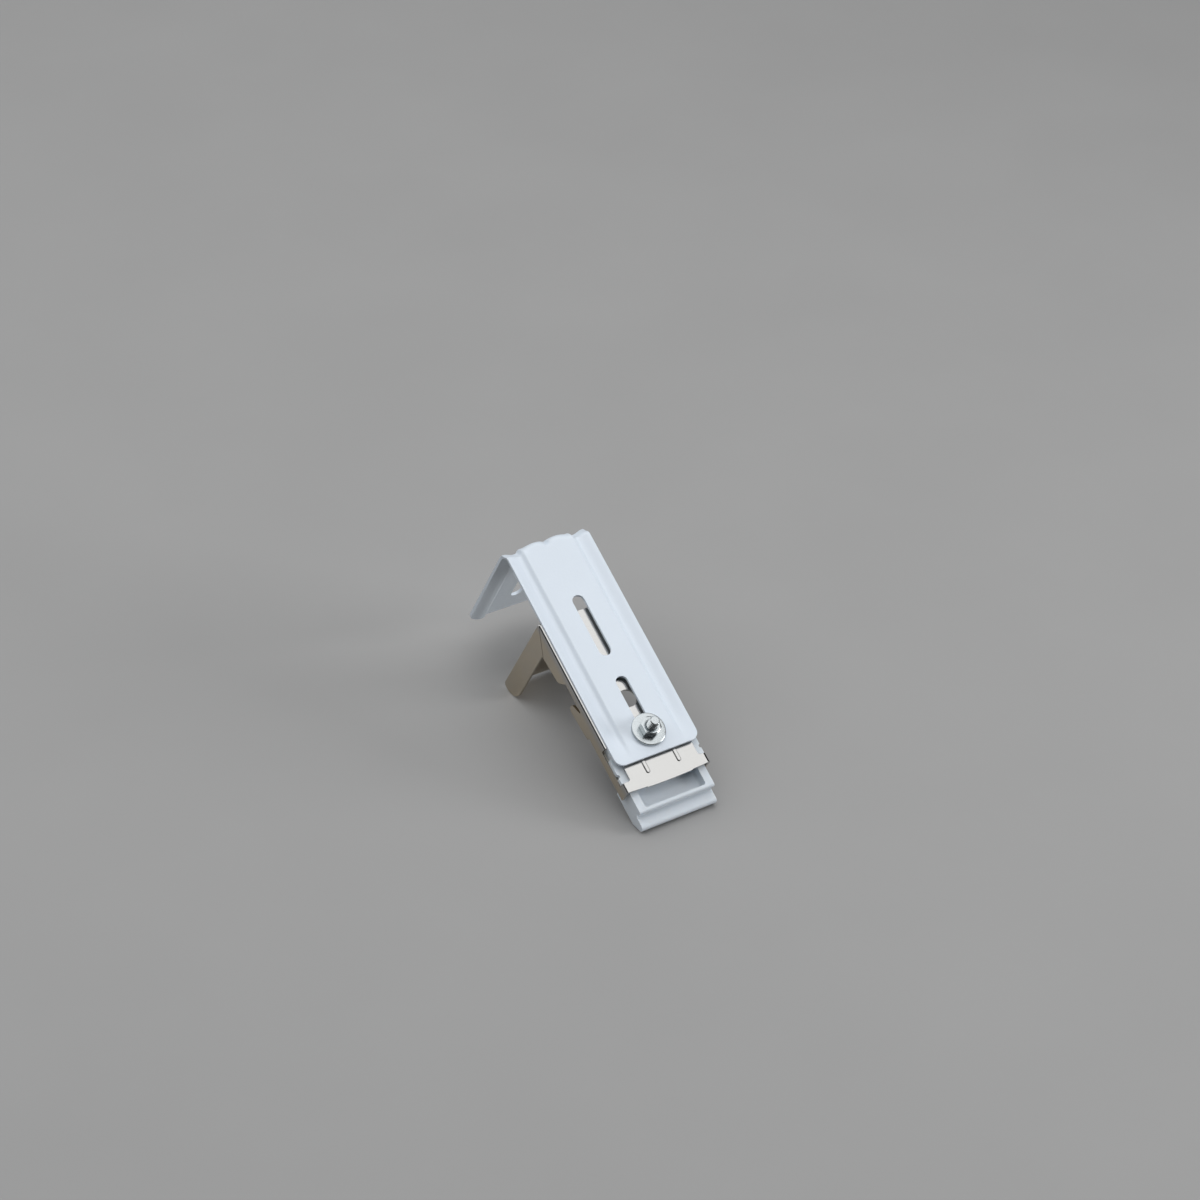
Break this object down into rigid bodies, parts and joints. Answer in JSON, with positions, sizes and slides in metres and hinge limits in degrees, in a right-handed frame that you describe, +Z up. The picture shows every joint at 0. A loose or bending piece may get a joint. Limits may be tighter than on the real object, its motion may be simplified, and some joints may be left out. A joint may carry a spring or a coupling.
{
  "type": "blind bracket",
  "caption": "Angled steel arm on a wall leg, with a folded clip and a sprung plastic release catch that hold a blind's head rail away from the wall.",
  "frame": {"origin": "on the wall, in the middle of the wall leg's back face, midway between its two screw slots", "axes": "+Y points into the wall, +Z points up along the wall, and the arm reaches out along -Y; X runs across the bracket"},
  "size_m": [0.0366, 0.1177, 0.0636],
  "materials": {
    "white_paint": "smooth satin white powder coat",
    "nickel_steel": "smooth bright nickel plate",
    "white_plastic": "moulded, slightly see-through, satin gloss",
    "spring_steel": "drawn wire",
    "zinc_steel": "bright zinc plate"
  },
  "bodies": {
    "bracket": {"wall_bracket": "white_paint"},
    "clip": {"clip_body": "nickel_steel", "catch_spring_left": "spring_steel", "catch_spring_right": "spring_steel", "clamp_screw": "zinc_steel", "clamp_nut": "zinc_steel", "clamp_washer": "zinc_steel"},
    "catch": {"release_catch": "white_plastic"}
  },
  "joints": [
    {"name": "projection_slide", "type": "slide", "parent": "bracket", "child": "clip", "axis": [0, 1, 0], "range_m": [0, 0.0205]},
    {"name": "catch_slide", "type": "slide", "parent": "clip", "child": "catch", "axis": [0, 1, 0], "range_m": [0, 0.0032], "stiffness_N_per_m": 1500, "springref_m": -0.004, "deforming": ["catch_spring_left", "catch_spring_right"]}
  ]
}
